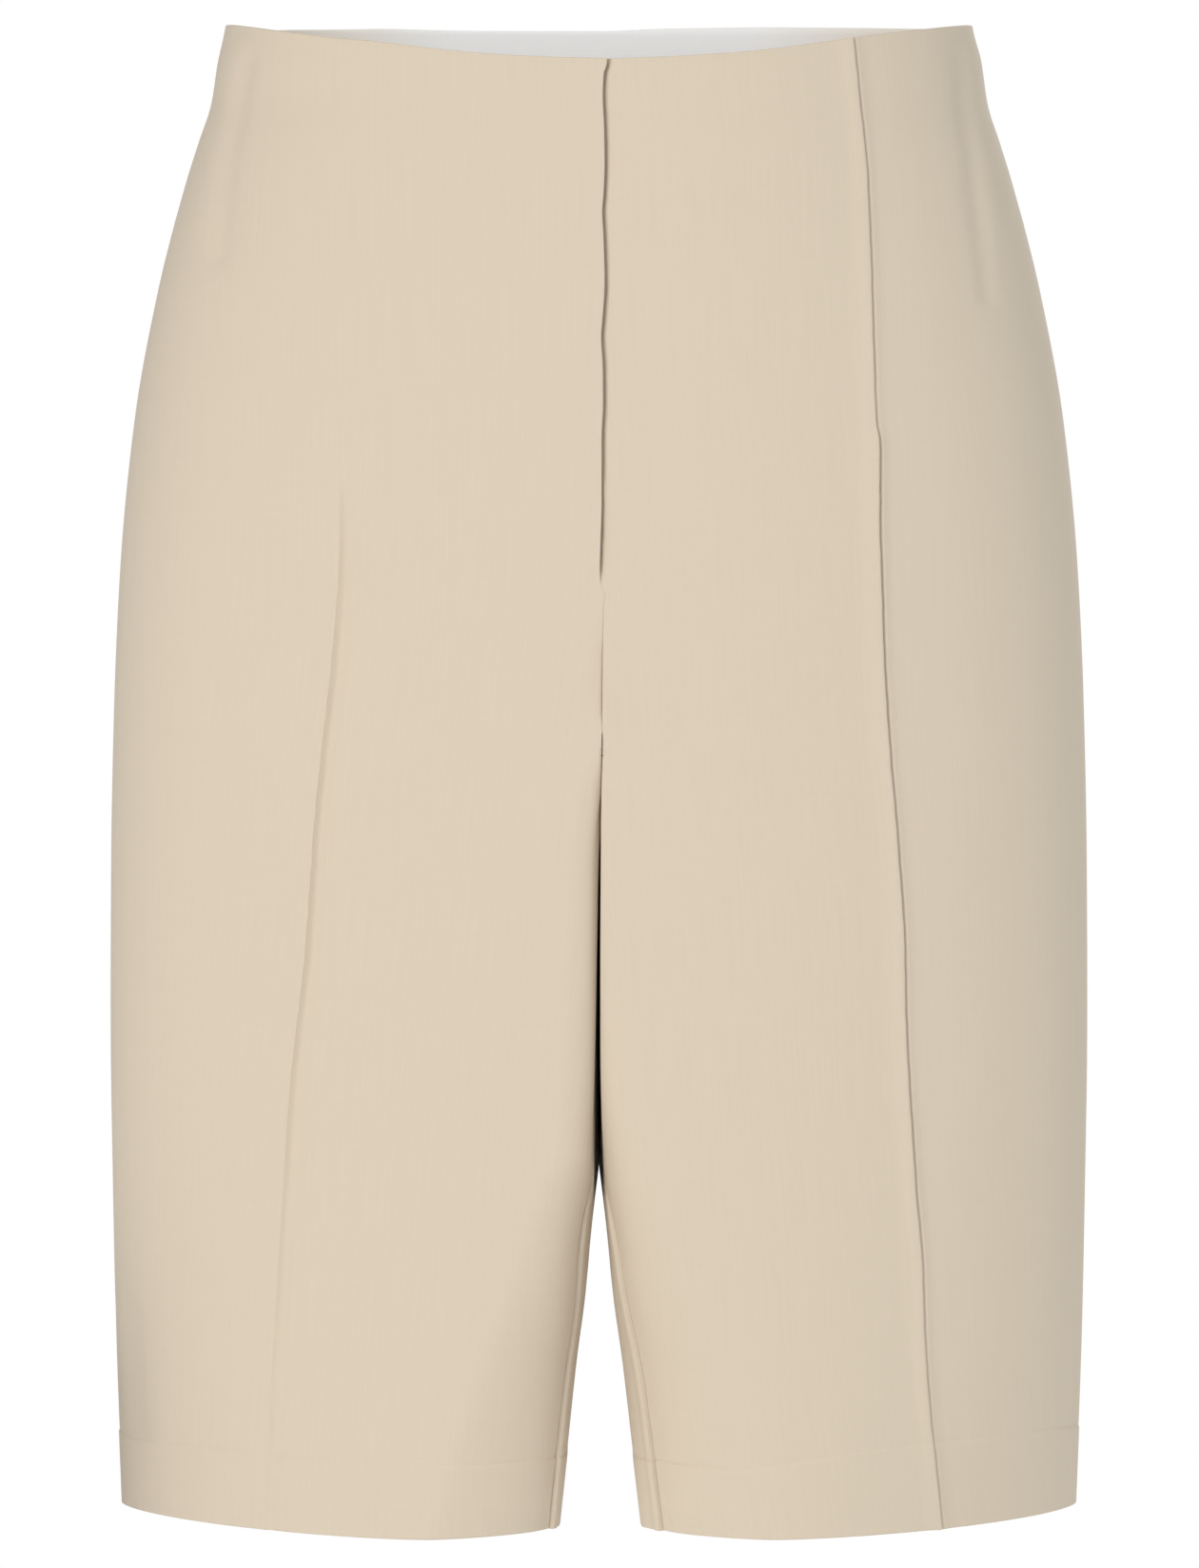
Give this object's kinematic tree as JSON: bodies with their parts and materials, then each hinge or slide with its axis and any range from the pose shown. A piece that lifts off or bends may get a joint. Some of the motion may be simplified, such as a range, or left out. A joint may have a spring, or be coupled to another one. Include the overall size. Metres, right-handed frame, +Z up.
{
  "type": "bermuda shorts",
  "caption": "Tailored knee-length bermuda shorts, worn and hollow, with a faced waist, a hidden fly zip, a stitched tuck down each front and turned-up hems.",
  "frame": {"origin": "middle of the waist opening, level with the waist edge at the side seams", "axes": "+Z up out of the waist opening, +X towards the wearer's left, front facing -Y"},
  "size_m": [0.3748, 0.2525, 0.5687],
  "materials": {
    "suiting": "smooth fine plain-woven beige suiting",
    "facing": "pale plain facing cloth",
    "nickel": "plated fly hardware"
  },
  "bodies": {
    "root": {"front_right": "suiting", "front_left": "suiting", "back_right": "suiting", "back_left": "suiting", "tuck_right": "suiting", "tuck_left": "suiting", "hem_right": "suiting", "hem_left": "suiting", "back_facing": "facing", "fly_guard": "suiting", "fly_zip": "nickel", "zip_slider": "nickel", "waist_hook": "nickel", "waist_bar": "nickel"}
  },
  "joints": []
}
